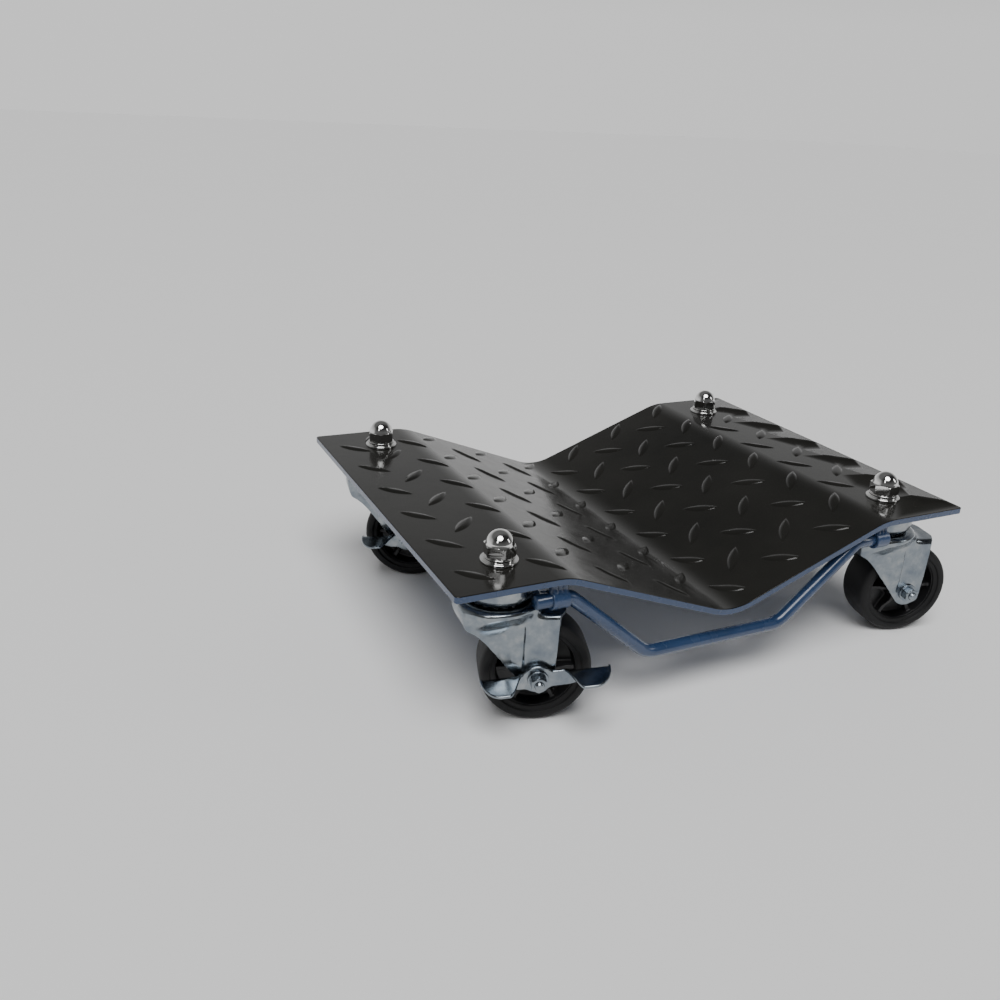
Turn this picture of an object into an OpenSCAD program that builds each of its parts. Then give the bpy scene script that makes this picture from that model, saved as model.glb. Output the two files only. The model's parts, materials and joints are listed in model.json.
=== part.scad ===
// Wheel dolly: a bent tread-plate deck on four swivel casters, with a drop carry handle.
// The origin lies on the floor under the middle of the deck. X runs along the deck,
// Y across it and Z points up. The carry handle hangs under the -Y edge.

/* [Deck] */
// Length of the deck along X
deck_length = 420; // [410:1:450]
// Width of the deck along Y
deck_width = 305; // [300:1:340]
// Thickness of the plate
plate_t = 4.8; // [4:0.1:5.5]
// Distance from the middle of the deck to each wing bend
bend_x = 132; // [128:1:134]
// Depth of the tyre cradle below the wings
cradle_depth = 50; // [42:1:52]
// Inside radius of the plate's bends
bend_r = 45; // [35:1:50]
// Radius of the deck's four corners
corner_r = 3; // [2:0.5:6]

/* [Tread lugs] */
// Spacing of the lugs that point the same way
lug_pitch = 48.5; // [44:0.5:56]
// Length of a lug
lug_length = 30; // [24:1:32]
// Width of a lug at its middle
lug_width = 8.5; // [6:0.5:10]
// Height of a lug above the plate
lug_height = 1.2; // [0.6:0.1:1.6]

/* [Casters] */
// Height from the floor to the underside of the deck
caster_height = 107.2; // [106.5:0.1:112]
// Distance from the middle of the deck to each kingpin along X
stem_x = 164.5; // [162:0.5:170]
// Distance from the middle of the deck to each kingpin along Y
stem_y = 115.5; // [110:0.5:118]
// Radius of the wheels
wheel_r = 37.5; // [36:0.1:38]
// Width of the tyres
tyre_width = 29; // [26:0.5:30]
// Distance from the kingpin to the axle
trail = 26.5; // [25:0.5:28]
// Swivel angle of the front left caster
swivel_fl = -19.4; // [-30:0.1:0]
// Swivel angle of the front right caster
swivel_fr = -13.3; // [-30:0.1:0]
// Swivel angle of the back left caster
swivel_bl = -29.8; // [-35:0.1:0]
// Swivel angle of the back right caster
swivel_br = -24; // [-30:0.1:0]
// Tilt of the brake levers in their released position
lever_tilt = 7; // [0:0.5:12]

/* [Carry handle] */
// Diameter of the handle's rod
rod_d = 9.5; // [8:0.5:10]
// Distance from the pivot line down to the grip bar
handle_drop = 54.4; // [50:0.1:56]
// Half of the distance between the handle's upper bends
handle_top_half = 121; // [119:0.5:121]
// Half of the distance between the handle's lower bends
handle_bar_half = 57; // [50:1:62]
// How far the handle has slid along its sleeves from the middle
handle_slide = -6.4; // [-6.4:0.1:6.4]

/* [Hidden] */
caster_pieces = ["stem", "upper_race", "swivel_balls", "lower_race", "fork", "tyre",
                 "wheel_core", "axle_sleeve", "axle_bolt", "axle_washers", "axle_nut"];
brake_pieces = ["brake_cam", "brake_lever"];
$fn = 96;

deck_top = caster_height + plate_t;
slope = atan(cradle_depth / bend_x);
slope_length = bend_x / cos(slope);
wing_tangent = (bend_r + plate_t) * tan(slope / 2);
bend_steps = 8;

stem_r = 6;
stem_hole_r = 6.5;
running_gap = 0.1;

washer_r = 12.5;
washer_t = 2;
lock_r = 10.5;
lock_t = 2.2;
hex_across = 19;
hex_height = 8;
dome_r = 9;

lug_clear_r = 22;
lug_shift = [-11, -8];
left_spread = 16.3;

race_r = 25;
race_bottom = caster_height - 14.7;
race_t = 2.5;
race_shoulder = 6;
ball_gap = 0.05;
collar_r = 10;
ball_r = 2.5;
ball_ring_r = 17;
ball_count = 18;
ball_z = race_bottom - 1.9;
crown_top = race_bottom - 3.8;
crown_r = 29.5;
crown_t = 3;
crown_round = 5;
keeper_ball_r = 2;
keeper_ring_r = 10.5;
keeper_ball_count = 14;
keeper_ball_z = crown_top - crown_t - 1.6;
keeper_top = keeper_ball_z - 1.6;
keeper_t = 3;
keeper_r = 14;
rivet_r = 8.5;
rivet_t = 2.5;

fork_t = 2.8;
leg_inside = 16;
leg_outside = leg_inside + fork_t;
fork_top = crown_top - 6.7;
fork_front = 40;
leg_front = 38;
leg_rear = -22.5;
leg_rear_z = 70;
leg_foot_r = 11.5;
fork_bend_r = 5;
front_chamfer = 8;
skirt_bottom = fork_top - 6;
rib_x = 13;
rib_width = 9;
rib_height = 1.2;
rib_bottom = 46;
rib_top = fork_top - 6;

axle_r = 3;
sleeve_r = 6;
hub_r = 10;
hub_half = 15.4;
core_r = 30;
rim_r = 26;
rim_half = 11.5;
web_half = 2.5;
spoke_count = 6;
spoke_t = 3;
spoke_half = 8.5;
tyre_round = 3;
bolt_head_t = 4;
bolt_hex = 10;
axle_washer_r = 7;
axle_washer_t = 1.6;
nut_t = 5.5;
bolt_proud = 2;

cam_r = 9;
cam_t = 2.5;
lever_t = 2;
lever_gap = 0.1;
lever_boss_r = 9.5;
lever_arm_h = 11;
left_pedal = [13, 37];
right_pedal = [19, 43];
pedal_reach = 19;
pedal_lift = 5;
pedal_droop = 10;
pedal_round = 8;
pedal_sink = 1.5;

pivot_y = -144;
hinge_tube_r = 6.75;
hinge_bore_r = rod_d / 2 + running_gap;
hinge_tube_inner = 129.8;
hinge_tube_length = 12;
hinge_gap = 6.65;
pivot_z = caster_height - hinge_tube_r - hinge_gap;
tack_length = 2.6;
tack_half = 3.5;
stub_length = 25;
leg_angle = atan2(handle_drop, handle_top_half - handle_bar_half);
knuckle_proud = 0.4;

// A flat ring with a bore
module ring(outer_r, inner_r, height) {
    difference() {
        cylinder(r = outer_r, h = height);
        translate([0, 0, -1]) cylinder(r = inner_r, h = height + 2);
    }
}

// Part of a flat ring between two angles
module ring_sector(inner_r, outer_r, from, to) {
    reach = 2 * outer_r;
    intersection() {
        difference() {
            circle(r = outer_r);
            circle(r = inner_r);
        }
        polygon([[0, 0], reach * [cos(from), sin(from)], reach * [cos(to), sin(to)]]);
    }
}

// A rectangle with round corners
module round_rectangle(length, width, radius) {
    square([length - 2 * radius, width], center = true);
    square([length, width - 2 * radius], center = true);
    for (x = [-1, 1], y = [-1, 1])
        translate([x * (length / 2 - radius), y * (width / 2 - radius)]) circle(r = radius);
}

// Points along an arc, with both of its ends
function arc_points(centre, radius, from, to, steps) = [
    for (i = [0 : steps])
        let (angle = from + (to - from) * i / steps) centre + radius * [cos(angle), sin(angle)]
];

// The bent sheet's section at a height above its underside, from the left wing to the right
function sheet_curve(height) =
    let (wing_centre = [bend_x + wing_tangent, caster_height - bend_r],
         cradle_centre = [0, deck_top - cradle_depth + bend_r / cos(slope)],
         wing_r = bend_r + height,
         cradle_r = bend_r + plate_t - height,
         left_centre = [-wing_centre[0], wing_centre[1]])
        concat([[-deck_length / 2, caster_height + height]],
               arc_points(left_centre, wing_r, 90, 90 - slope, bend_steps),
               arc_points(cradle_centre, cradle_r, -90 - slope, -90 + slope, 2 * bend_steps),
               arc_points(wing_centre, wing_r, 90 + slope, 90, bend_steps),
               [[deck_length / 2, caster_height + height]]);

// The bent sheet between two heights above its underside
module bent_sheet(low, high) {
    under = sheet_curve(low);
    translate([0, deck_width / 2, 0]) rotate([90, 0, 0]) linear_extrude(deck_width)
        polygon(concat(sheet_curve(high), [for (i = [len(under) - 1 : -1 : 0]) under[i]]));
}

// Where a point of the flat sheet comes to lie along X once the sheet is bent
function bent_x(s) = sign(s) * (abs(s) < slope_length ? abs(s) * cos(slope)
                                                     : abs(s) - slope_length + bend_x);

// Centres of the lugs, with their direction. The rows lie wider apart on the left slope
function lug_places() = [
    for (i = [-5 : 5], j = [-4 : 4], turn = [0, 1])
        let (row = lug_shift[0] + (i + turn / 2) * lug_pitch,
             s = row - left_spread * min(max(-row / slope_length, 0), 1),
             y = lug_shift[1] + (j + turn / 2) * lug_pitch,
             x = bent_x(s),
             edge = lug_length / 3)
        if (abs(x) < deck_length / 2 - edge && abs(y) < deck_width / 2 - edge
            && norm([abs(x) - stem_x, abs(y) - stem_y]) > lug_clear_r)
            [x, y, 45 - 90 * turn]
];

// Outline of one lug, pointed at both ends
module lug_outline() {
    arc_r = (pow(lug_length, 2) + pow(lug_width, 2)) / (4 * lug_width);
    intersection() {
        translate([0, arc_r - lug_width / 2]) circle(r = arc_r);
        translate([0, lug_width / 2 - arc_r]) circle(r = arc_r);
    }
}

module at_stems() {
    for (x = [-1, 1], y = [-1, 1])
        translate([x * stem_x, y * stem_y, 0]) children();
}

module deck_plate() {
    color([0.17, 0.16, 0.15]) difference() {
        intersection() {
            union() {
                bent_sheet(0, plate_t);
                intersection() {
                    bent_sheet(plate_t / 2, plate_t + lug_height);
                    linear_extrude(2 * deck_top) difference() {
                        for (place = lug_places())
                            translate([place[0], place[1]]) rotate(place[2]) lug_outline();
                        at_stems() circle(r = washer_r + 0.5);
                    }
                }
            }
            linear_extrude(2 * deck_top) round_rectangle(deck_length, deck_width, corner_r);
        }
        at_stems() cylinder(r = stem_hole_r, h = 2 * deck_top);
    }
}

// Side is -1 for the left sleeve and 1 for the right one
module handle_sleeve(side) {
    color([0.16, 0.22, 0.36])
        translate([side * (hinge_tube_inner + hinge_tube_length / 2), pivot_y, pivot_z])
            rotate([0, 90, 0]) translate([0, 0, -hinge_tube_length / 2])
                ring(hinge_tube_r, hinge_bore_r, hinge_tube_length);
}

// Weld tacks that hang each sleeve under the plate
module sleeve_welds() {
    tack_step = (hinge_tube_length - tack_length) / 2;
    color([0.16, 0.22, 0.36]) for (side = [-1, 1])
        difference() {
            for (i = [-1 : 1])
                translate([side * (hinge_tube_inner + hinge_tube_length / 2) + i * tack_step, pivot_y,
                           caster_height - hinge_gap])
                    cube([tack_length, 2 * tack_half, 2 * hinge_gap + 1], center = true);
            translate([side * hinge_tube_inner, pivot_y, pivot_z]) rotate([0, 90, 0])
                cylinder(r = hinge_tube_r, h = 4 * hinge_tube_length, center = true);
            bent_sheet(0, plate_t);
        }
}

// One half of the bent rod, with the pivot line along X through the origin. Each bend is a
// knuckle a little fatter than the rod.
module handle_half() {
    translate([0, 0, -handle_drop]) {
        rotate([0, 90, 0]) cylinder(d = rod_d, h = handle_bar_half);
        translate([handle_bar_half, 0, 0]) {
            sphere(d = rod_d + knuckle_proud);
            rotate([0, 90 - leg_angle, 0])
                cylinder(d = rod_d, h = norm([handle_top_half - handle_bar_half, handle_drop]));
        }
    }
    translate([handle_top_half, 0, 0]) {
        sphere(d = rod_d + knuckle_proud);
        rotate([0, 90, 0]) cylinder(d = rod_d, h = stub_length);
    }
}

module carry_handle() {
    color([0.20, 0.28, 0.42]) translate([handle_slide, pivot_y, pivot_z]) {
        for (side = [0, 1]) mirror([side, 0, 0]) handle_half();
    }
}

module flat_washers() {
    color([0.80, 0.80, 0.82]) at_stems()
        translate([0, 0, deck_top]) ring(washer_r, stem_r + running_gap, washer_t);
}

// Split spring washers
module lock_washers() {
    color([0.70, 0.70, 0.72]) at_stems() translate([0, 0, deck_top + washer_t]) difference() {
        ring(lock_r, stem_r + running_gap, lock_t);
        translate([0, -0.6, -1]) cube([2 * lock_r, 1.2, lock_t + 2]);
    }
}

module dome_nuts() {
    color([0.85, 0.85, 0.87]) at_stems()
        translate([0, 0, deck_top + washer_t + lock_t]) difference() {
            union() {
                intersection() {
                    cylinder(d = hex_across / cos(30), h = hex_height, $fn = 6);
                    cylinder(r1 = hex_across / 2 - 0.2, r2 = hex_across / 2 + hex_height, h = hex_height);
                    cylinder(r1 = hex_across / 2 + hex_height, r2 = hex_across / 2 - 0.2,
                             h = hex_height);
                }
                translate([0, 0, hex_height]) intersection() {
                    sphere(r = dome_r);
                    cylinder(r = dome_r, h = dome_r);
                }
            }
            translate([0, 0, -1]) cylinder(r = stem_r, h = hex_height + 4);
        }
}

// Threaded stem, collar and kingpin in one turned piece, riveted over at its foot
module stem() {
    color([0.72, 0.72, 0.74]) {
        translate([0, 0, keeper_top - keeper_t - rivet_t]) cylinder(r = rivet_r, h = rivet_t);
        translate([0, 0, keeper_top - keeper_t])
            cylinder(r = stem_r, h = deck_top + washer_t + lock_t + hex_height - keeper_top + keeper_t);
        translate([0, 0, race_bottom + race_t])
            cylinder(r = collar_r, h = caster_height - race_bottom - race_t);
    }
}

// Pressed bowl whose rim bears on the deck and whose foot holds the upper ball track
module upper_race() {
    color([0.75, 0.76, 0.78]) difference() {
        translate([0, 0, race_bottom]) rotate_extrude() {
            square([race_r - race_shoulder, race_t]);
            translate([race_r - race_shoulder, race_shoulder])
                ring_sector(race_shoulder - race_t, race_shoulder, -90, 0);
            translate([race_r - race_t, race_shoulder])
                square([race_t, caster_height - race_bottom - race_shoulder]);
        }
        translate([0, 0, race_bottom - 1]) cylinder(r = stem_r, h = race_t + 2);
        ball_track();
    }
}

// Space that the upper row of balls rolls in
module ball_track() {
    translate([0, 0, ball_z]) rotate_extrude()
        translate([ball_ring_r, 0]) circle(r = ball_r + ball_gap);
}

// Space that the lower row of balls rolls in
module keeper_track() {
    translate([0, 0, keeper_ball_z]) rotate_extrude()
        translate([keeper_ring_r, 0]) circle(r = keeper_ball_r + ball_gap);
}

// The upper row carries the load, and the lower row holds the fork up against it
module swivel_balls() {
    color([0.6, 0.6, 0.62]) {
        for (i = [0 : ball_count - 1])
            rotate([0, 0, 360 * i / ball_count]) translate([ball_ring_r, 0, ball_z])
                sphere(r = ball_r);
        for (i = [0 : keeper_ball_count - 1])
            rotate([0, 0, 360 * i / keeper_ball_count])
                translate([keeper_ring_r, 0, keeper_ball_z]) sphere(r = keeper_ball_r);
    }
}

module lower_race() {
    color([0.68, 0.69, 0.71]) difference() {
        translate([0, 0, keeper_top - keeper_t]) ring(keeper_r, stem_r, keeper_t);
        keeper_track();
    }
}

// Outline of a fork leg seen from the side, with the kingpin at x = 0
module leg_outline() {
    foot = [trail, wheel_r];
    shoulder = [leg_rear, leg_rear_z];
    reach = norm(foot - shoulder);
    line_angle = atan2(foot[1] - shoulder[1], foot[0] - shoulder[0]);
    tangent_angle = line_angle - asin(leg_foot_r / reach);
    tangent_point = foot + leg_foot_r * [cos(tangent_angle - 90), sin(tangent_angle - 90)];
    polygon([[leg_rear, fork_top], shoulder, tangent_point, foot,
             [leg_front, wheel_r], [fork_front, fork_top]]);
    translate(foot) circle(r = leg_foot_r);
}

// Section across the fork's two legs and its top
module fork_section() {
    inner_bend = fork_bend_r - fork_t;
    difference() {
        union() {
            translate([-leg_outside, 0]) square([2 * leg_outside, fork_top - fork_bend_r]);
            translate([-leg_outside + fork_bend_r, 0])
                square([2 * (leg_outside - fork_bend_r), fork_top]);
            for (side = [-1, 1])
                translate([side * (leg_outside - fork_bend_r), fork_top - fork_bend_r])
                    circle(r = fork_bend_r);
        }
        translate([-leg_inside, -1])
            square([2 * leg_inside, fork_top - fork_bend_r + 1]);
        translate([-leg_inside + inner_bend, -1])
            square([2 * (leg_inside - inner_bend), fork_top - fork_t + 1]);
        for (side = [-1, 1])
            translate([side * (leg_inside - inner_bend), fork_top - fork_bend_r])
                circle(r = inner_bend);
    }
}

// Pressed dome around the kingpin that holds both ball tracks
module fork_crown() {
    difference() {
        rotate_extrude() {
            translate([0, crown_top - crown_t]) square([crown_r - crown_round, crown_t]);
            translate([crown_r - crown_round, crown_top - crown_round])
                ring_sector(crown_round - crown_t, crown_round, 0, 90);
            translate([crown_r - crown_t, skirt_bottom])
                square([crown_t, crown_top - crown_round - skirt_bottom]);
        }
        translate([0, -2 * crown_r, skirt_bottom - 1])
            cube([2 * crown_r, 4 * crown_r, fork_top - fork_t - skirt_bottom + 1]);
    }
}

module fork() {
    color([0.72, 0.74, 0.76]) difference() {
        union() {
            intersection() {
                translate([leg_rear, 0, 0]) rotate([90, 0, 90])
                    linear_extrude(fork_front - leg_rear) fork_section();
                translate([0, leg_outside + 1, 0]) rotate([90, 0, 0])
                    linear_extrude(2 * leg_outside + 2) leg_outline();
                linear_extrude(2 * fork_top) polygon([
                    [leg_rear, -leg_outside], [fork_front - front_chamfer, -leg_outside],
                    [fork_front, front_chamfer - leg_outside],
                    [fork_front, leg_outside - front_chamfer],
                    [fork_front - front_chamfer, leg_outside], [leg_rear, leg_outside]
                ]);
            }
            fork_crown();
            for (side = [-1, 1]) leg_rib(side);
        }
        translate([0, 0, fork_top - fork_t - 1])
            cylinder(r = keeper_r + 1, h = crown_top - crown_t - fork_top + fork_t + 1);
        cylinder(r = stem_r + running_gap, h = 2 * crown_top);
        ball_track();
        keeper_track();
        translate([trail, 0, wheel_r]) rotate([90, 0, 0])
            cylinder(r = axle_r, h = 4 * leg_outside, center = true);
    }
}

// Stiffening rib pressed into a leg; side is -1 or 1
module leg_rib(side) {
    translate([rib_x, side * (leg_outside - 0.5), rib_bottom])
        linear_extrude(rib_top - rib_bottom) polygon([
            [-rib_width / 2, 0], [rib_width / 2, 0],
            [rib_width / 4, side * (rib_height + 0.5)], [-rib_width / 4, side * (rib_height + 0.5)]
        ]);
}

// Places its children on the axle, with their z axis along it towards the nut side
module on_axle() {
    translate([trail, 0, wheel_r]) rotate([90, 0, 0]) children();
}

module tyre() {
    color([0.10, 0.10, 0.10]) on_axle() rotate_extrude() difference() {
        translate([core_r, -tyre_width / 2]) square([wheel_r - core_r, tyre_width]);
        for (side = [-1, 1]) difference() {
            translate([wheel_r - tyre_round, side * tyre_width / 2 - tyre_round])
                square([tyre_round + 1, 2 * tyre_round]);
            translate([wheel_r - tyre_round, side * (tyre_width / 2 - tyre_round)])
                circle(r = tyre_round);
            translate([wheel_r - tyre_round - 1, side * (tyre_width / 2 - 2 * tyre_round)
                       - tyre_round])
                square([tyre_round + 2, 2 * tyre_round]);
        }
    }
}

// Moulded core with a hub, a web, spokes on both sides and a rim
module wheel_core() {
    color([0.13, 0.13, 0.13]) on_axle() difference() {
        union() {
            translate([0, 0, -hub_half]) cylinder(r = hub_r, h = 2 * hub_half);
            translate([0, 0, -web_half]) cylinder(r = core_r, h = 2 * web_half);
            translate([0, 0, -rim_half]) ring(core_r, rim_r, 2 * rim_half);
            for (i = [0 : spoke_count - 1])
                rotate([0, 0, 360 * i / spoke_count])
                    translate([hub_r - 1, -spoke_t / 2, -spoke_half])
                        cube([rim_r - hub_r + 2, spoke_t, 2 * spoke_half]);
        }
        translate([0, 0, -2 * hub_half]) cylinder(r = sleeve_r + running_gap, h = 4 * hub_half);
    }
}

module axle_sleeve() {
    color([0.74, 0.66, 0.42]) on_axle()
        translate([0, 0, -leg_inside]) ring(sleeve_r, axle_r, 2 * leg_inside);
}

// Distance from the middle of the wheel to the face under the nut's washer
function nut_seat(braked) = leg_outside + (braked ? cam_t + lever_t + 2 * lever_gap : 0);

module axle_bolt(braked) {
    head = leg_outside + axle_washer_t;
    color([0.70, 0.71, 0.73]) on_axle() {
        translate([0, 0, -head - bolt_head_t])
            cylinder(d = bolt_hex / cos(30), h = bolt_head_t, $fn = 6);
        translate([0, 0, -head])
            cylinder(r = axle_r, h = head + nut_seat(braked) + axle_washer_t + nut_t + bolt_proud);
    }
}

module axle_washers(braked) {
    color([0.76, 0.77, 0.79]) on_axle() {
        translate([0, 0, -leg_outside - axle_washer_t])
            ring(axle_washer_r, axle_r, axle_washer_t);
        translate([0, 0, nut_seat(braked)]) ring(axle_washer_r, axle_r, axle_washer_t);
    }
}

module axle_nut(braked) {
    color([0.70, 0.71, 0.73]) on_axle()
        translate([0, 0, nut_seat(braked) + axle_washer_t]) difference() {
            cylinder(d = bolt_hex / cos(30), h = nut_t, $fn = 6);
            translate([0, 0, -1]) cylinder(r = axle_r, h = nut_t + 2);
        }
}

// Ramped plate that the brake lever rides up on as it is pressed
module brake_cam() {
    color([0.66, 0.67, 0.70]) on_axle()
        translate([0, 0, leg_outside]) ring(cam_r, axle_r, cam_t);
}

// Foot pedal that stands out from the rocker; side is -1 towards the kingpin
module pedal(side, span) {
    length = span[1] - span[0];
    translate([side * span[0], pedal_lift - pedal_sink, lever_t / 2])
        rotate([90 + pedal_droop, 0, 0]) mirror([side < 0 ? 1 : 0, 0, 0]) linear_extrude(lever_t) {
            square([length, pedal_reach - pedal_round]);
            translate([pedal_round, 0]) square([length - 2 * pedal_round, pedal_reach]);
            for (x = [pedal_round, length - pedal_round])
                translate([x, pedal_reach - pedal_round]) circle(r = pedal_round);
        }
}

module brake_lever() {
    color([0.70, 0.72, 0.74]) on_axle()
        translate([0, 0, leg_outside + cam_t + lever_gap]) rotate([0, 0, lever_tilt]) difference() {
            union() {
                cylinder(r = lever_boss_r, h = lever_t);
                translate([pedal_round - left_pedal[1], pedal_lift - lever_arm_h, 0])
                    cube([left_pedal[1] + right_pedal[1] - 2 * pedal_round, lever_arm_h, lever_t]);
                pedal(-1, left_pedal);
                pedal(1, right_pedal);
            }
            translate([0, 0, -1]) cylinder(r = axle_r + running_gap, h = lever_t + 2);
        }
}

// Kingpin place, swivel angle and brake of each caster
function caster(corner) =
    corner == "fl" ? [-stem_x, -stem_y, swivel_fl, true] :
    corner == "fr" ? [stem_x, -stem_y, swivel_fr, false] :
    corner == "bl" ? [-stem_x, stem_y, swivel_bl, true] :
                     [stem_x, stem_y, swivel_br, false];

// Draws one piece of one caster
module caster_piece(piece, corner) {
    place = caster(corner);
    braked = place[3];
    translate([place[0], place[1], 0]) rotate([0, 0, place[2]]) {
        if (piece == "stem") stem();
        if (piece == "upper_race") upper_race();
        if (piece == "swivel_balls") swivel_balls();
        if (piece == "lower_race") lower_race();
        if (piece == "fork") fork();
        if (piece == "tyre") tyre();
        if (piece == "wheel_core") wheel_core();
        if (piece == "axle_sleeve") axle_sleeve();
        if (piece == "axle_bolt") axle_bolt(braked);
        if (piece == "axle_washers") axle_washers(braked);
        if (piece == "axle_nut") axle_nut(braked);
        if (piece == "brake_cam") brake_cam();
        if (piece == "brake_lever") brake_lever();
    }
}

deck_plate();
handle_sleeve(-1);  // handle_sleeve_left
handle_sleeve(1);  // handle_sleeve_right
sleeve_welds();
carry_handle();
dome_nuts();
lock_washers();
flat_washers();
for (corner = ["fl", "fr", "bl", "br"])
    for (piece = caster_pieces)
        caster_piece(piece, corner);
for (corner = ["fl", "bl"])
    for (piece = brake_pieces)
        caster_piece(piece, corner);
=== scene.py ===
import json
import math
import bpy
import bmesh
import numpy as np
from mathutils import Matrix, Vector
from mathutils.geometry import delaunay_2d_cdt


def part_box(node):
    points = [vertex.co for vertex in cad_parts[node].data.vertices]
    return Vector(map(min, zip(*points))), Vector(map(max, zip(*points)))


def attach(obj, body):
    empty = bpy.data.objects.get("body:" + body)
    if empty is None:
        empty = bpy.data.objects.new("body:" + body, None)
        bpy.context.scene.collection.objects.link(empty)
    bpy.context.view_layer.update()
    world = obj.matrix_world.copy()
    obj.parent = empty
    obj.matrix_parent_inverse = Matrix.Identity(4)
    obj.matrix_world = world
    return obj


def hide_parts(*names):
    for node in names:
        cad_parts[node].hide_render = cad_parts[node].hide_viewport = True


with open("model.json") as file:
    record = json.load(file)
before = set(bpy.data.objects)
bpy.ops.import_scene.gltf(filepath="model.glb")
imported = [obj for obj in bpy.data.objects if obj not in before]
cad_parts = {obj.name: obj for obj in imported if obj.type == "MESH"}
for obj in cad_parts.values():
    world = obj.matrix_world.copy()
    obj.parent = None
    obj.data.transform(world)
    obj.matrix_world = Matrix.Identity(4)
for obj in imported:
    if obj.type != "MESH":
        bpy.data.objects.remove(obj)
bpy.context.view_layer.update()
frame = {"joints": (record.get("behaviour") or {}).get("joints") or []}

MM = 0.001
CORNERS = ("fl", "fr", "bl", "br")
BRAKED = ("fl", "bl")

# --- sizes, read from the frame
joints = {joint["name"]: joint for joint in frame["joints"]}
deck_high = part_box("deck_plate")[1]
race_low, race_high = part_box("upper_race_fl")
fork_top_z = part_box("fork_fl")[1].z
keeper_low, keeper_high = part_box("lower_race_fl")
nuts_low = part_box("dome_nuts")[0]
handle_low, handle_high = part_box("carry_handle")
sleeve_low, sleeve_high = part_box("handle_sleeve_right")

DECK_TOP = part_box("flat_washers")[0].z
UNDERSIDE = race_high.z
PLATE = DECK_TOP - UNDERSIDE
HALF_LENGTH = deck_high.x
HALF_WIDTH = deck_high.y
WHEEL_R = joints["wheel_fl_spin"]["pos_m"][2]
KINGPINS = {c: Vector(joints[f"swivel_{c}_turn"]["pos_m"][:2]) for c in CORNERS}
TRAIL = (Vector(joints["wheel_fl_spin"]["pos_m"][:2]) - KINGPINS["fl"]).length
PIVOT = Vector(joints["handle_swing"]["pos_m"])

# --- sizes of the design
BEND_X = 132 * MM            # middle of the deck to each wing bend
CRADLE_DEPTH = 50 * MM
BEND_R = 45 * MM             # inside radius of the bends
DECK_CORNER_R = 3 * MM
DECK_EDGE_R = 0.7 * MM
LUG_PITCH = 48.5 * MM
LUG_SHIFT = (-11 * MM, -8 * MM)
LEFT_SPREAD = 16.3 * MM      # how much wider the rows lie over the left slope
LUG_LENGTH = 30 * MM
LUG_WIDTH = 8.5 * MM
LUG_HEIGHT = 1.25 * MM
LUG_CLEAR = 22 * MM          # stem to the middle of the nearest lug
SEAT_R = 13 * MM             # flat ring under a washer
STEM_HOLE_R = 6.5 * MM
STEM_R = 6 * MM
LEG_OUT = 18.8 * MM          # middle of the wheel to a fork leg's outer face
SHEET = 2.8 * MM             # fork sheet
AXLE_R = 3 * MM
CAM = 2.5 * MM
LEVER = 2 * MM
WASHER = 1.6 * MM
NUT = 5.5 * MM

SLOPE = math.atan2(CRADLE_DEPTH, BEND_X)
SLOPE_LENGTH = BEND_X / math.cos(SLOPE)
WING_TANGENT = (BEND_R + PLATE) * math.tan(SLOPE / 2)
CRADLE_TANGENT = BEND_R * math.tan(SLOPE)
SHEET_HALF = SLOPE_LENGTH + HALF_LENGTH - BEND_X


# --- camera and studio
CAMERA_ANGLES = (26.43, 22.41, 3.02)      # yaw, pitch and roll of the photograph's view, in degrees
CAMERA_PLACE = (-0.4103, -0.6068, 0.3799)
CAMERA_LENS = 34.59
FLOOR_HALF = 14.0
FLOOR_COLOUR = 0.93
LIT_POINT = Vector((0, 0, 0.05))
DEPTH_STOPS = ((0.0, 0.14), (0.42, 0.16), (0.62, 0.80), (1.0, 0.86))
HEIGHT_STOPS = ((0.54, 1.0), (0.62, 0.68), (0.70, 0.56), (0.80, 0.17))


def show(name, data):
    """A new object in the scene."""
    item = bpy.data.objects.new(name, data)
    bpy.context.scene.collection.objects.link(item)
    return item


def add_camera():
    yaw, pitch, roll = (math.radians(a) for a in CAMERA_ANGLES)
    forward = Vector((math.sin(yaw) * math.cos(pitch), math.cos(yaw) * math.cos(pitch), -math.sin(pitch)))
    level = Vector((math.cos(yaw), -math.sin(yaw), 0))
    upright = level.cross(forward)
    right = math.cos(roll) * level + math.sin(roll) * upright
    up = math.cos(roll) * upright - math.sin(roll) * level
    data = bpy.data.cameras.new("camera")
    data.sensor_width = 36
    data.lens = CAMERA_LENS
    data.clip_start = 0.01
    camera = show("camera", data)
    rotation = Matrix((right, up, -forward)).transposed().to_4x4()
    camera.matrix_world = Matrix.Translation(CAMERA_PLACE) @ rotation
    bpy.context.scene.camera = camera


def add_light(name, place, width, height, power):
    data = bpy.data.lights.new(name, "AREA")
    data.shape = "RECTANGLE"
    data.size = width
    data.size_y = height
    data.energy = power
    light = show(name, data)
    light.location = place
    light.rotation_euler = (LIT_POINT - Vector(place)).to_track_quat("-Z", "Y").to_euler()


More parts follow.
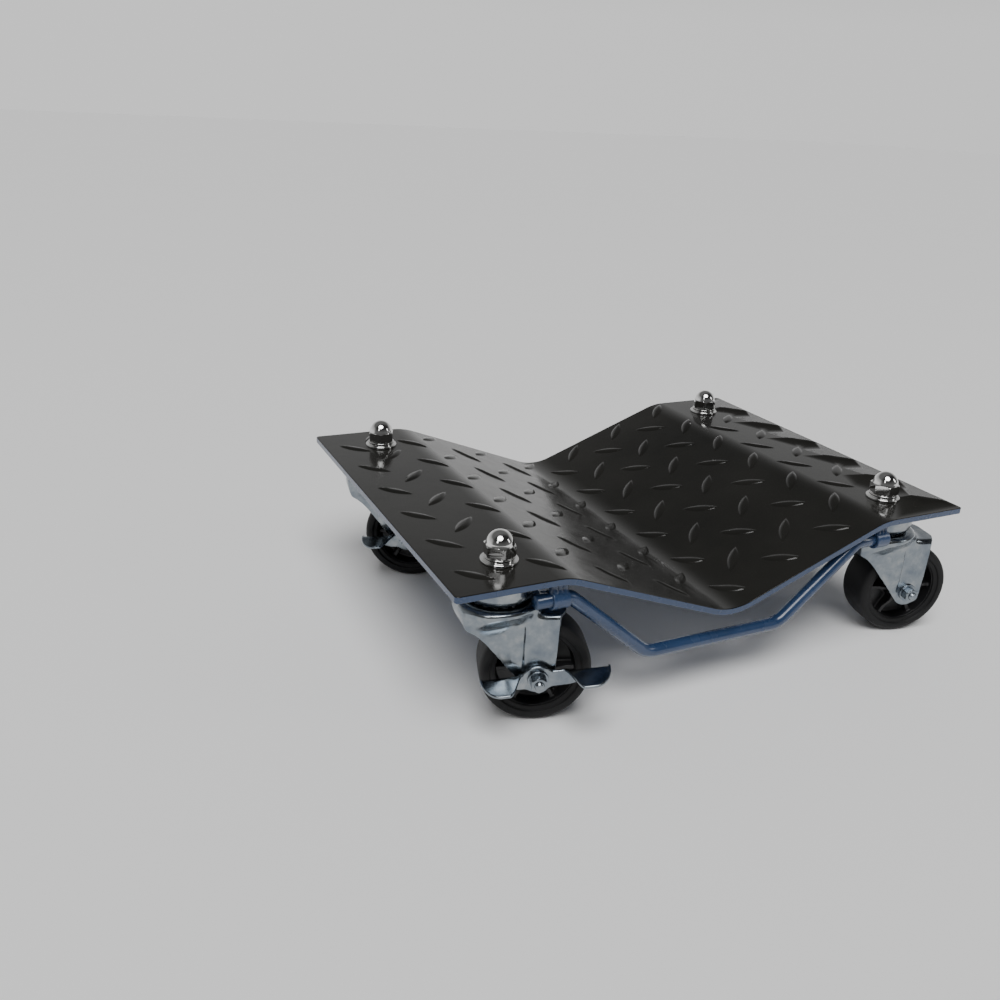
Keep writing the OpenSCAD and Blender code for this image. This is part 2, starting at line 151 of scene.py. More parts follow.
def add_sky():
    """A sky that is brighter behind the dolly and low down, and a wide soft sun."""
    world = bpy.data.worlds.new("studio")
    bpy.context.scene.world = world
    world.use_nodes = True
    nodes, link = world.node_tree.nodes, world.node_tree.links.new
    split = nodes.new("ShaderNodeSeparateXYZ")
    link(nodes.new("ShaderNodeTexCoord").outputs["Generated"], split.inputs[0])
    product = nodes.new("ShaderNodeMath")
    product.operation = "MULTIPLY"
    for slot, (axis, stops) in enumerate((("Y", DEPTH_STOPS), ("Z", HEIGHT_STOPS))):
        place = nodes.new("ShaderNodeMapRange")
        place.inputs["From Min"].default_value = -1
        ramp = nodes.new("ShaderNodeValToRGB")
        set_stops(ramp, [(at, (level,) * 3) for at, level in stops])
        link(split.outputs[axis], place.inputs["Value"])
        link(place.outputs["Result"], ramp.inputs["Fac"])
        link(ramp.outputs["Color"], product.inputs[slot])
    link(product.outputs[0], nodes["Background"].inputs["Color"])
    sun = bpy.data.lights.new("soft_sky", "SUN")
    sun.energy = 2.7
    sun.angle = math.radians(40)
    show("soft_sky", sun).rotation_euler = (math.radians(24), math.radians(-12), 0)


def add_studio():
    add_sky()
    add_light("key", (-1.5, -1.3, 1.5), 0.35, 1.1, 5)
    add_light("fill", (1.7, -1.2, 1.0), 0.30, 0.9, 3)
    mesh = bpy.data.meshes.new("floor")
    corners = [(x * FLOOR_HALF, y * FLOOR_HALF, 0) for x, y in ((-1, -1), (1, -1), (1, 1), (-1, 1))]
    mesh.from_pydata(corners, [], [(0, 1, 2, 3)])
    floor = show("floor", mesh)
    floor.location.z = -0.0002
    floor.data.materials.append(floor_paper())


# --- materials
def set_stops(ramp, stops):
    elements = ramp.color_ramp.elements
    while len(elements) < len(stops):
        elements.new(0.5)
    for element, (place, colour) in zip(elements, stops):
        element.position = place
        element.color = (*colour, 1)


class Graph:
    """A short way to write a material's nodes."""

    def __init__(self, name):
        self.material = bpy.data.materials.new(name)
        self.material.use_nodes = True
        self.tree = self.material.node_tree
        self.shader = self.tree.nodes["Principled BSDF"]

    def node(self, kind, **settings):
        node = self.tree.nodes.new(kind)
        for key, value in settings.items():
            node.inputs[key].default_value = value
        return node

    def link(self, source, target):
        self.tree.links.new(source, target)

    def noise(self, scale, detail=3, roughness=0.5, stretch=(1, 1, 1)):
        where = self.node("ShaderNodeTexCoord")
        mapping = self.node("ShaderNodeMapping", Scale=stretch)
        node = self.node("ShaderNodeTexNoise", Scale=scale, Detail=detail, Roughness=roughness)
        self.link(where.outputs["Object"], mapping.inputs["Vector"])
        self.link(mapping.outputs["Vector"], node.inputs["Vector"])
        return node.outputs["Fac"]

    def ramp(self, factor, *stops):
        node = self.node("ShaderNodeValToRGB")
        set_stops(node, stops)
        self.link(factor, node.inputs["Fac"])
        return node.outputs["Color"]

    def spread(self, factor, low, high):
        """Maps the middle of a noise to the range from low to high."""
        node = self.node("ShaderNodeMapRange")
        for name, value in (("From Min", 0.3), ("From Max", 0.7), ("To Min", low), ("To Max", high)):
            node.inputs[name].default_value = value
        self.link(factor, node.inputs["Value"])
        return node.outputs["Result"]

    def bump(self, height, distance, strength, normal):
        node = self.node("ShaderNodeBump", Strength=strength, Distance=distance)
        self.link(height, node.inputs["Height"])
        if normal is not None:
            self.link(normal, node.inputs["Normal"])
        return node.outputs["Normal"]

    def set(self, **values):
        for name, value in values.items():
            socket = self.shader.inputs[name.replace("_", " ")]
            if isinstance(value, bpy.types.NodeSocket):
                self.link(value, socket)
            else:
                socket.default_value = value
        return self.material


def finish(name, drift, stops, rough, rough_noise=None, bumps=(), **settings):
    """A slot's name and its material: a colour drift, a roughness and bumps, each from a noise."""
    graph = Graph(name)
    drift = graph.noise(*drift)
    normal = None
    for noise, distance, strength in bumps:
        normal = graph.bump(graph.noise(*noise), distance, strength, normal)
    if normal is not None:
        settings["Normal"] = normal
    factor = graph.noise(*rough_noise) if rough_noise else drift
    colour = graph.ramp(drift, *stops)
    return name, graph.set(Base_Color=colour, Roughness=graph.spread(factor, *rough), **settings)


def floor_paper():
    graph = Graph("floor_paper")
    stops = (0.0, (FLOOR_COLOUR * 0.985,) * 3), (1.0, (FLOOR_COLOUR,) * 3)
    return graph.set(Base_Color=graph.ramp(graph.noise(3.0), *stops), Roughness=0.95)


def make_looks():
    """The dolly's materials, by slot: dark warm gloss paint, blue paint, blotchy zinc, and so on."""
    streak = (260.0, 4, 0.6, (1, 1, 0.12))
    return dict((
        finish("deck_paint", (9.0, 4, 0.6), ((0.3, (0.009, 0.009, 0.008)), (0.7, (0.017, 0.0165, 0.0145))),
               (0.10, 0.20), (30.0, 5, 0.7),
               (((60.0, 2, 0.5), 0.00012, 0.5), ((420.0, 2, 0.5), 0.00003, 0.5)), Specular_IOR_Level=0.32),
        finish("handle_paint", (25.0, 4, 0.6), ((0.3, (0.017, 0.040, 0.098)), (0.7, (0.026, 0.055, 0.125))),
               (0.20, 0.32), (80.0, 4), (((500.0, 2), 0.00003, 0.6),), Coat_Weight=0.5, Coat_Roughness=0.08),
        finish("zinc", (70.0, 5, 0.65),
               ((0.30, (0.17, 0.20, 0.24)), (0.52, (0.27, 0.30, 0.325)), (0.72, (0.41, 0.425, 0.43))),
               (0.15, 0.27), streak, ((streak, 0.00006, 0.35), ((28.0, 2), 0.0008, 0.28)), Metallic=1.0),
        finish("chrome", (140.0, 4, 0.6), ((0.3, (0.72, 0.72, 0.71)), (0.7, (0.82, 0.82, 0.81))),
               (0.03, 0.08), Metallic=1.0),
        finish("spring_steel", (200.0, 4, 0.6), ((0.3, (0.34, 0.34, 0.35)), (0.7, (0.48, 0.48, 0.49))),
               (0.22, 0.36), Metallic=1.0),
        finish("tyre", (60.0, 5, 0.7), ((0.3, (0.004, 0.004, 0.0045)), (0.7, (0.009, 0.009, 0.0095))),
               (0.46, 0.62), bumps=(((900.0, 3), 0.00004, 0.6),), Specular_IOR_Level=0.3),
        finish("core_plastic", (50.0, 4, 0.6), ((0.3, (0.005, 0.005, 0.006)), (0.7, (0.011, 0.011, 0.012))),
               (0.34, 0.48), bumps=(((1400.0, 2), 0.00003, 0.5),)),
    ))


# --- mesh tools
def new_piece(name, mesh, material, body, place=Matrix(), nodes=()):
    piece = show(name, mesh)
    if not mesh.materials:
        mesh.materials.append(material)
    piece.matrix_world = place
    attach(piece, body)
    if nodes:
        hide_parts(*nodes)


def make_mesh(name, vertices, faces, sharp=32.0, normals=None):
    mesh = bpy.data.meshes.new(name)
    mesh.from_pydata([tuple(v) for v in vertices], [], [tuple(int(i) for i in f) for f in faces])
    if normals:
        facing = mesh.attributes.new("facing", "FLOAT_VECTOR", "POINT")
        facing.data.foreach_set("vector", [c for normal in normals for c in normal])
    work = bmesh.new()
    work.from_mesh(mesh)
    bmesh.ops.remove_doubles(work, verts=work.verts, dist=1e-6)
    bmesh.ops.dissolve_degenerate(work, dist=1e-7, edges=work.edges)
    bmesh.ops.recalc_face_normals(work, faces=work.faces)
    work.to_mesh(mesh)
    work.free()
    mesh.polygons.foreach_set("use_smooth", [True] * len(mesh.polygons))
    if normals:
        flat = np.zeros(3 * len(mesh.vertices))
        mesh.attributes["facing"].data.foreach_get("vector", flat)
        mesh.attributes.remove(mesh.attributes["facing"])
        mesh.normals_split_custom_set_from_vertices(flat.reshape(-1, 3).tolist())
    else:
        mesh.set_sharp_from_angle(angle=math.radians(sharp))
    mesh.update()
    return mesh


class Build:
    """Collects vertices and faces of several closed parts into one mesh."""

    def __init__(self):
        self.vertices, self.faces = [], []

    def add(self, vertices, faces, matrix=None):
        start = len(self.vertices)
        self.vertices += [matrix @ Vector(v) if matrix else Vector(v) for v in vertices]
        self.faces += [[i + start for i in face] for face in faces]
        return self


def make_from(name, build, sharp=32.0):
    return make_mesh(name, build.vertices, build.faces, sharp)


def strips(rings):
    """Quads between closed rings of points."""
    count = len(rings[0])
    faces = []
    for k in range(len(rings) - 1):
        for i in range(count):
            j = (i + 1) % count
            faces.append([k * count + i, (k + 1) * count + i, (k + 1) * count + j, k * count + j])
    return [v for ring in rings for v in ring], faces


def tube(rings):
    """A closed mesh through rings of points, with both ends filled."""
    vertices, faces = strips(rings)
    total, count = len(vertices), len(rings[0])
    return vertices, faces + [list(range(count))[::-1], list(range(total - count, total))]


def circle(steps):
    """Points of a circle of radius 1."""
    return [(math.cos(2 * math.pi * k / steps), math.sin(2 * math.pi * k / steps)) for k in range(steps)]


def between(start, end, steps):
    """Evenly spaced points of an outline from start to end."""
    (a, b), (c, d) = start, end
    return [(a + (c - a) * k / steps, b + (d - b) * k / steps) for k in range(steps + 1)]


def rounded(points, radius, steps=4):
    """A closed outline with each corner rounded, and a support point beside each round."""
    out = []
    corners = [Vector(p) for p in points]
    for i, corner in enumerate(corners):
        before, after = corners[i - 1] - corner, corners[(i + 1) % len(corners)] - corner
        angle = before.angle(after)
        reach = radius / math.tan(angle / 2)
        back, ahead = before.normalized(), after.normalized()
        a, b = corner + back * reach, corner + ahead * reach
        middle = corner + (back + ahead).normalized() * (radius / math.sin(angle / 2))
        support = min(0.15 * MM, 0.4 * (before.length - reach), 0.4 * (after.length - reach))
        out.append(a + back * max(support, 0))
        for k in range(steps + 1):
            out.append(middle + (a - middle).lerp(b - middle, k / steps).normalized() * radius)
        out.append(b + ahead * max(support, 0))
    return out


def lathe(outline, steps=72, radius_at=None, turn=2 * math.pi):
    """Turns a closed (radius, height) outline about Z. radius_at(radius, angle) may clip the radius."""
    vertices, faces = [], []
    closed = abs(turn - 2 * math.pi) < 1e-6
    rings = steps if closed else steps + 1
    for k in range(rings):
        angle = turn * k / steps
        for radius, height in outline:
            r = radius_at(radius, angle) if radius_at else radius
            vertices.append((r * math.cos(angle), r * math.sin(angle), height))
    count = len(outline)
    for k in range(steps):
        for i in range(count):
            j = (i + 1) % count
            a, b = k * count, ((k + 1) % rings) * count
            faces.append([a + i, b + i, b + j, a + j])
    if not closed:
        faces += [list(range(count)), [steps * count + i for i in range(count)][::-1]]
    return vertices, faces


def ring_outline(inner, outer, low, high, edge=0.3 * MM):
    return rounded([(inner, low), (outer, low), (outer, high), (inner, high)], edge)


def hex_radius(across, corner_cut=0.25 * MM):
    flat = across / 2
    limit = flat / math.cos(math.pi / 6) - corner_cut

    def clip(radius, angle):
        side = (angle + math.pi / 6) % (math.pi / 3) - math.pi / 6
        return min(radius, flat / math.cos(side), limit)
    return clip


def surface_of(distance, low, high, step):
    """Closed quad mesh of the surface where distance(x, y, z) is 0, by surface nets."""
    axes = [np.arange(a - 2 * step, b + 3 * step, step) for a, b in zip(low, high)]
    grid = np.stack(np.meshgrid(*axes, indexing="ij"), -1)
    field = distance(grid[..., 0], grid[..., 1], grid[..., 2])
    inside = field < 0
    size = np.array(field.shape) - 1
    total = np.zeros((*size, 3))
    count = np.zeros((*size, 1))
    for axis in range(3):
        ahead = np.roll(field, -1, axis)
        crossing = (inside != np.roll(inside, -1, axis))
        crossing[tuple(slice(-1, None) if a == axis else slice(None) for a in range(3))] = False
        share = np.where(crossing, field / np.where(crossing, field - ahead, 1), 0)
        point = grid.copy()
        point[..., axis] += share * step
        others = [a for a in range(3) if a != axis]
        for i in (0, 1):
            for j in (0, 1):
                cut = [slice(0, n) for n in size]
                cut[others[0]] = slice(i, size[others[0]] + i)
                cut[others[1]] = slice(j, size[others[1]] + j)
                hit = crossing[tuple(cut)][..., None]
                total += np.where(hit, point[tuple(cut)], 0)
                count += hit
    mixed = count[..., 0] > 0
    index = np.full(mixed.shape, -1)
    index[mixed] = np.arange(mixed.sum())
    vertices = total[mixed] / count[mixed]
    faces = []
    for axis in range(3):
        b, c = (axis + 1) % 3, (axis + 2) % 3
        here = inside & ~np.roll(inside, -1, axis)
        there = ~inside & np.roll(inside, -1, axis)
        for mask, flip in ((here, False), (there, True)):
            cells = np.argwhere(mask[tuple(slice(1, n) for n in size)]) + 1
            quad = []
            for db, dc in ((1, 1), (0, 1), (0, 0), (1, 0)):
                moved = cells.copy()
                moved[:, b] -= db
                moved[:, c] -= dc
                quad.append(index[tuple(moved.T)])
            faces.append(np.stack(quad[::-1] if flip else quad, 1))
    return vertices, np.concatenate(faces)


def sdf_mesh(name, distance, low, high, step):
    """A smooth mesh of a surface given in mm, whose normals come from the distance itself."""
    vertices, faces = surface_of(distance, low, high, step)
    mesh = bpy.data.meshes.new(name)
    mesh.from_pydata((vertices * MM).tolist(), [], faces.tolist())
    mesh.polygons.foreach_set("use_smooth", [True] * len(mesh.polygons))
    slope = np.zeros_like(vertices)
    for axis in range(3):
        nudge = np.zeros(3)
        nudge[axis] = 0.12
        slope[:, axis] = distance(*(vertices + nudge).T) - distance(*(vertices - nudge).T)
    slope /= np.maximum(np.linalg.norm(slope, axis=1), 1e-9)[:, None]
    mesh.normals_split_custom_set_from_vertices(slope.tolist())
    return mesh


def smooth_min(a, b, blend):
    share = np.clip(0.5 + 0.5 * (b - a) / blend, 0, 1)
    return b * (1 - share) + a * share - blend * share * (1 - share)


def smooth_max(a, b, blend):
    return -smooth_min(-a, -b, blend)


def round_box(x, z, half, top, corner):
    """Distance to a section that is half wide on each side of x = 0 and reaches up to top."""
    across, above = np.abs(x) - (half - corner), z - (top - corner)
    outside = np.hypot(np.maximum(across, 0), np.maximum(above, 0))
    return outside + np.minimum(np.maximum(across, above), 0) - corner


def window(value, low, high, soft):
    """1 between low and high, falling to 0 over soft on each side."""
    rise = np.clip((value - low) / soft + 0.5, 0, 1)
    fall = np.clip((high - value) / soft + 0.5, 0, 1)
    rise, fall = rise * rise * (3 - 2 * rise), fall * fall * (3 - 2 * fall)
    return rise * fall


# --- deck
def lay(s, y, height):
    """Puts a point of the flat sheet, height above its underside, on the bent deck."""
    side, reach = (1 if s >= 0 else -1), abs(s)
    crease = DECK_TOP - CRADLE_DEPTH
    if reach < CRADLE_TANGENT:
        angle = SLOPE * reach / CRADLE_TANGENT
        x = BEND_R * math.sin(angle)
        z = crease + BEND_R / math.cos(SLOPE) - BEND_R * math.cos(angle)
    elif reach < SLOPE_LENGTH - WING_TANGENT:
        angle = SLOPE
        x, z = reach * math.cos(SLOPE), crease + reach * math.sin(SLOPE)
    elif reach < SLOPE_LENGTH + WING_TANGENT:
        angle = SLOPE * (SLOPE_LENGTH + WING_TANGENT - reach) / (2 * WING_TANGENT)
        x = BEND_X + WING_TANGENT - (BEND_R + PLATE) * math.sin(angle)
        z = UNDERSIDE - BEND_R + (BEND_R + PLATE) * math.cos(angle)
    else:
        angle = 0
        x, z = reach - SLOPE_LENGTH + BEND_X, DECK_TOP
    above = height - PLATE
    return Vector((side * (x - above * math.sin(angle)), y, z + above * math.cos(angle)))


def bend_lines():
    """Where the sheet is creased, along its length."""
    cradle = [CRADLE_TANGENT * k / 7 for k in range(-7, 8)]
    wing = [SLOPE_LENGTH + WING_TANGENT * k / 5 for k in range(-5, 6)]
    return [-s for s in wing[::-1]] + cradle + wing


def sheet_outline(inset):
    """The sheet's edge, moved in by inset, with a point at each bend line."""
    along, across = SHEET_HALF - DECK_CORNER_R, HALF_WIDTH - DECK_CORNER_R
    radius = DECK_CORNER_R - inset
    points = []
    for quarter, (sx, sy) in enumerate(((1, -1), (1, 1), (-1, 1), (-1, -1))):
        start = -90 + 90 * quarter
        for k in range(7):
            angle = math.radians(start + 15 * k)
            points.append((sx * along + radius * math.cos(angle), sy * across + radius * math.sin(angle)))
        if quarter in (1, 3):
            lines = bend_lines()
            lines = lines[::-1] if quarter == 1 else lines
            points += [(s, sy * (HALF_WIDTH - inset)) for s in lines]
    return points


def lug_places():
    places = []
    for i in range(-5, 6):
        for j in range(-4, 5):
            for turn in (0, 1):
                s = LUG_SHIFT[0] + (i + turn / 2) * LUG_PITCH
                s -= LEFT_SPREAD * min(max(-s / SLOPE_LENGTH, 0), 1)
                y = LUG_SHIFT[1] + (j + turn / 2) * LUG_PITCH
                x = lay(s, y, PLATE).x
                edge = LUG_LENGTH / 3
                stem = min((Vector((x, y)) - place).length for place in KINGPINS.values())
                if abs(x) < HALF_LENGTH - edge and abs(y) < HALF_WIDTH - edge and stem > LUG_CLEAR:
                    places.append((s, y, math.radians(45 - 90 * turn)))
    return places


def lens(inward, steps=9):
    """Outline of a lug moved in by a distance, pointed at both ends."""
    radius = (LUG_LENGTH ** 2 + LUG_WIDTH ** 2) / (4 * LUG_WIDTH)
    centre = radius - LUG_WIDTH / 2
    radius -= inward
    reach = math.acos(min(1, centre / radius))
    upper = [(radius * math.sin(a), radius * math.cos(a) - centre)
             for a in (reach * (1 - 2 * k / steps) for k in range(steps))]
    return upper + [(-x, -y) for x, y in upper]


def lug_rise(inward):
    """Height of a lug at a distance in from its edge: a soft foot, a steep side and a low dome."""
    side, foot = 1.6 * MM, 0.3 * MM
    if inward <= -foot:
        return 0.0
    share = min((inward + foot) / (side + foot), 1)
    crown = min(max(inward - side, 0) / (LUG_WIDTH / 2 - side), 1)
    return LUG_HEIGHT * (0.66 * share * share * (3 - 2 * share) + 0.34 * crown * (2 - crown))


def lug_inward(s, y, places):
    """How far a point of the sheet lies inside the nearest lug's edge."""
    radius = (LUG_LENGTH ** 2 + LUG_WIDTH ** 2) / (4 * LUG_WIDTH)
    centre = radius - LUG_WIDTH / 2
    cos, sin = np.cos(places[:, 2]), np.sin(places[:, 2])
    ds, dy = s - places[:, 0], y - places[:, 1]
    along, across = ds * cos + dy * sin, dy * cos - ds * sin
    return float(np.max(radius - np.hypot(along, np.abs(across) + centre)))


def filled(loops, lines, holes):
    """Triangles that fill the first loop around the others, with the lines as edges. Works in mm."""
    points, edges = [], []
    for loop in loops + holes:
        start = len(points)
        points += [Vector((x / MM, y / MM)) for x, y in loop]
        edges += [(start + i, start + (i + 1) % len(loop)) for i in range(len(loop))]
    for a, b in lines:
        points += [Vector((a[0] / MM, a[1] / MM)), Vector((b[0] / MM, b[1] / MM))]
        edges.append((len(points) - 2, len(points) - 1))
    found, _, faces, _, _, _ = delaunay_2d_cdt(points, edges, [], 1, 1e-5)
    stems = [middle_of([Vector(p) for p in hole]) for hole in holes]
    kept = []
    for face in faces:
        middle = middle_of([found[i] for i in face]) * MM
        if min((middle - stem).length for stem in stems) > STEM_HOLE_R - 0.2 * MM:
            kept.append(face)
    return [p * MM for p in found], kept


def middle_of(points):
    return sum(points, Vector((0, 0))) / len(points)


def make_deck(paint, painted_edge_reflection):
    build, normals = Build(), []
    margin = DECK_EDGE_R + 0.5 * MM
    places = lug_places()
    table = np.array(places)
    loops = [sheet_outline(margin)]
    for s, y, turn in places:
        spin = Matrix.Rotation(turn, 2)
        for inward in (-0.9, -0.3, 0.15, 0.6, 1.1, 2.0, 3.0):
            ring = [spin @ Vector(p) + Vector((s, y)) for p in lens(inward * MM)]
            if all(abs(p[0]) < SHEET_HALF - 2 * MM and abs(p[1]) < HALF_WIDTH - 2 * MM for p in ring):
                loops.append(ring)
    holes, seats = [], []
    for kingpin in KINGPINS.values():
        s = math.copysign(abs(kingpin.x) - BEND_X + SLOPE_LENGTH, kingpin.x)
        seats.append(Vector((s, kingpin.y)))
        holes.append([(s + STEM_HOLE_R * x, kingpin.y + STEM_HOLE_R * y) for x, y in circle(32)])
    lines = [((s, margin - HALF_WIDTH), (s, HALF_WIDTH - margin)) for s in bend_lines()]

    def rise(s, y):
        if min((Vector((s, y)) - seat).length for seat in seats) < SEAT_R:
            return 0.0
        return lug_rise(lug_inward(s, y, table))

    def top(s, y):
        return lay(s, y, PLATE + rise(s, y))
    points, faces = filled(loops, lines, holes)
    build.add([top(*p) for p in points], faces)
    step = 0.05 * MM
    for s, y in points:
        along, across = top(s + step, y) - top(s - step, y), top(s, y + step) - top(s, y - step)
        normals.append(along.cross(across).normalized())
    points, faces = filled([sheet_outline(margin)], lines, holes)
    build.add([lay(p[0], p[1], 0) for p in points], [face[::-1] for face in faces])
    normals += [(lay(s, y, 0) - lay(s, y, PLATE)).normalized() for s, y in points]
    rings, facing = edge_rings(margin)
    build.add(*strips(rings))
    normals += [normal for ring in facing for normal in ring]
    for hole in holes:
        build.add(*strips([[lay(x, y, PLATE) for x, y in hole], [lay(x, y, 0) for x, y in hole]]))
        normals += len(hole) * [Vector((0, 0, 1))] + len(hole) * [Vector((0, 0, -1))]
    mesh = make_mesh("deck", build.vertices, build.faces, normals=normals)
    mesh.materials.append(paint)
    mesh.materials.append(painted_edge_reflection)
    # Faces that point sideways or down get the handle's blue paint and the top keeps the dark warm paint: a
    # colour split by facing, a painted reflection standing in for how the plate's one paint takes the light.
    for polygon in mesh.polygons:
        if polygon.normal.z < 0.5:
            polygon.material_index = 1
    new_piece("deck", mesh, paint, "deck", nodes=("deck_plate",))


def edge_rings(margin):
    """Rings around the rounded edge of the deck, from its top face to its underside, with their normals."""
    rings, facing = [], []
    rounds = [(margin, 90, 1)] + [(None, 90 - 22.5 * k, 1) for k in range(5)]
    rounds += [(None, 22.5 * k, -1) for k in range(5)] + [(margin, 90, -1)]
    for inset, degrees, side in rounds:
        angle = math.radians(degrees)
        inset = DECK_EDGE_R * (1 - math.cos(angle)) if inset is None else inset
        drop = DECK_EDGE_R * (1 - math.sin(angle))
        height = PLATE - drop if side > 0 else drop
        outline, core = sheet_outline(inset), sheet_outline(DECK_CORNER_R)
        ring, normals = [], []
        for (s, y), (core_s, core_y) in zip(outline, core):
            ring.append(lay(s, y, height))
            upward = (lay(s, y, PLATE) - lay(s, y, 0)).normalized()
            outward = lay(s, y, height) - lay(core_s, core_y, height)
            outward = (outward - upward * outward.dot(upward)).normalized()
            normals.append((outward * math.cos(angle) + upward * side * math.sin(angle)).normalized())
        rings.append(ring)
        facing.append(normals)
    return rings, facing


# --- nuts, washers and turned pieces
def dome_nut():
    """Cap nut: a six-sided foot with turned corners under a dome."""
    flat, foot, dome = 9.5 * MM, 8 * MM, 9.3 * MM
    inner, corner = STEM_R + 0.05 * MM, flat / math.cos(math.pi / 6)
    outline = [(inner, 0), (flat - 0.3 * MM, 0)]
    outline += between((flat, 0.2 * MM), (corner, 0.95 * MM), 4)
    outline += between((corner, foot - 0.75 * MM), (flat, foot), 4)
    outline += [(dome * math.cos(a), foot - 0.3 * MM + dome * math.sin(a))
                for a in (math.radians(6 + 6 * k) for k in range(14))]
    outline += [(0.02 * MM, foot - 0.3 * MM + dome), (0.02 * MM, foot + 3 * MM), (inner, foot + 3 * MM)]
    clip = hex_radius(2 * flat, 0.1 * MM)

    def shape(radius, angle):
        return clip(radius, angle) if radius > dome else radius
    return lathe(outline, 72, shape)


def hex_nut(across, height, bore):
    """Plain six-sided nut with turned corners on both faces."""
    flat = across / 2
    corner = flat / math.cos(math.pi / 6)
    outline = [(bore, 0.4 * MM), (bore + 0.4 * MM, 0), (flat - 0.3 * MM, 0)]
    outline += between((flat, 0.15 * MM), (corner, 0.65 * MM), 3)
    outline += between((corner, height - 0.65 * MM), (flat, height - 0.15 * MM), 3)
    outline += [(flat - 0.3 * MM, height), (bore + 0.4 * MM, height), (bore, height - 0.4 * MM)]
    return lathe(outline, 72, hex_radius(across, 0.1 * MM))


def threaded(radius, pitch, low, high, steps=48):
    """A rod with a screw thread between two heights and chamfered ends."""
    rows = int(round((high - low) / pitch * 6))
    rings = []
    for row in range(rows + 1):
        height = low + (high - low) * row / rows
        end = max(0, 1 * MM - min(height - low, high - height))
        ring = []
        for k, (x, y) in enumerate(circle(steps)):
            turn = (height / pitch - k / steps) % 1
            r = radius - max(0.3 * pitch * (2 * abs(turn - 0.5)), end)
            ring.append((r * x, r * y, height))
        rings.append(ring)
    return tube(rings)


def stem():
    keeper_foot = keeper_low.z
    foot = keeper_foot - 2.5 * MM
    race_floor = race_low.z + 2.5 * MM
    top = nuts_low.z + 8 * MM
    outline = [(0.02 * MM, foot - 0.3 * MM), (5 * MM, foot - 0.2 * MM), (7.4 * MM, foot + 0.35 * MM),
               (8.4 * MM, foot + 1.2 * MM), (8.5 * MM, keeper_foot - 0.3 * MM), (8.2 * MM, keeper_foot),
               (STEM_R, keeper_foot), (STEM_R, race_floor)]
    outline += [(9.7 * MM, race_floor), (10 * MM, race_floor + 0.3 * MM), (10 * MM, UNDERSIDE - 0.3 * MM)]
    outline += [(9.7 * MM, UNDERSIDE), (STEM_R - 0.5 * MM, UNDERSIDE), (0.02 * MM, UNDERSIDE)]
    build = Build().add(*lathe(outline))
    return build.add(*threaded(STEM_R, 1.75 * MM, UNDERSIDE - 1 * MM, top - 0.5 * MM))


def upper_race():
    """Pressed bowl with a round shoulder, a lip over the balls and a ball groove in its foot."""
    foot, rim, sheet = race_low.z, race_high.z, 2.5 * MM
    outer, shoulder = 25 * MM, 9 * MM
    groove_and_lip = ((11.5, 0), (14.6, 0), (15.2, 0.4), (16, 0.62), (17, 0.68), (18, 0.62), (18.8, 0.4),
                      (19.6, 0), (20.1, -1.2), (20.7, -2.3))
    outside = [(r * MM, foot + z * MM) for r, z in groove_and_lip]
    outside += [(outer - 3.6 * MM * (1 - math.sin(a)), foot - 2.8 * MM + 9 * MM * (1 - math.cos(a)))
                for a in (math.radians(10 * k) for k in range(10))]
    outside += [(outer, rim - 0.7 * MM), (outer - 0.3 * MM, rim - 0.12 * MM), (outer - 0.8 * MM, rim)]
    inside = [(outer - sheet, rim), (outer - sheet, foot + shoulder)]
    curve = shoulder - sheet
    inside += [(outer - shoulder + curve * math.sin(a), foot + shoulder - curve * math.cos(a))
               for a in (math.radians(90 - 18 * k) for k in range(1, 6))]
    inside += [(STEM_R + 0.02 * MM, foot + sheet), (STEM_R + 0.02 * MM, foot + 0.3 * MM),
               (STEM_R + 0.4 * MM, foot)]
    return lathe(outside + inside, 96)


def balls():
    """Two rows of bearing balls around a kingpin."""
    build = Build()
    low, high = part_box("swivel_balls_fl")
    rows = ((18, 17 * MM, 2.5 * MM, high.z - 2.5 * MM), (14, 10.5 * MM, 2 * MM, low.z + 2 * MM))
    for count, ring, radius, height in rows:
        outline = [(radius * math.cos(a), radius * math.sin(a))
                   for a in (math.radians(-88 + 16 * k) for k in range(12))]
        ball = tube([[(r * x, r * y, z) for x, y in circle(20)] for r, z in outline])
        for x, y in circle(count):
            build.add(*ball, Matrix.Translation((ring * x, ring * y, height)))
    return build


def lower_race():
    low, high = keeper_low.z, keeper_high.z
    face = ((14, -0.4), (13.6, 0), (11.9, 0), (11.2, -0.3), (10.5, -0.42), (9.8, -0.3), (9.1, 0))
    outline = [(STEM_R + 0.02 * MM, low), (13.3 * MM, low), (14 * MM, low + 0.7 * MM)]
    outline += [(r * MM, high + z * MM) for r, z in face] + [(STEM_R + 0.02 * MM, high)]
    return lathe(outline)


# --- fork, pressed from one sheet
FORK_FRONT = 44.5
LEG_FRONT = 38.8
LEG_HALF = 18.8
FOOT_R = 11.5
SKIRT = 75.5
REAR_X = -19.5


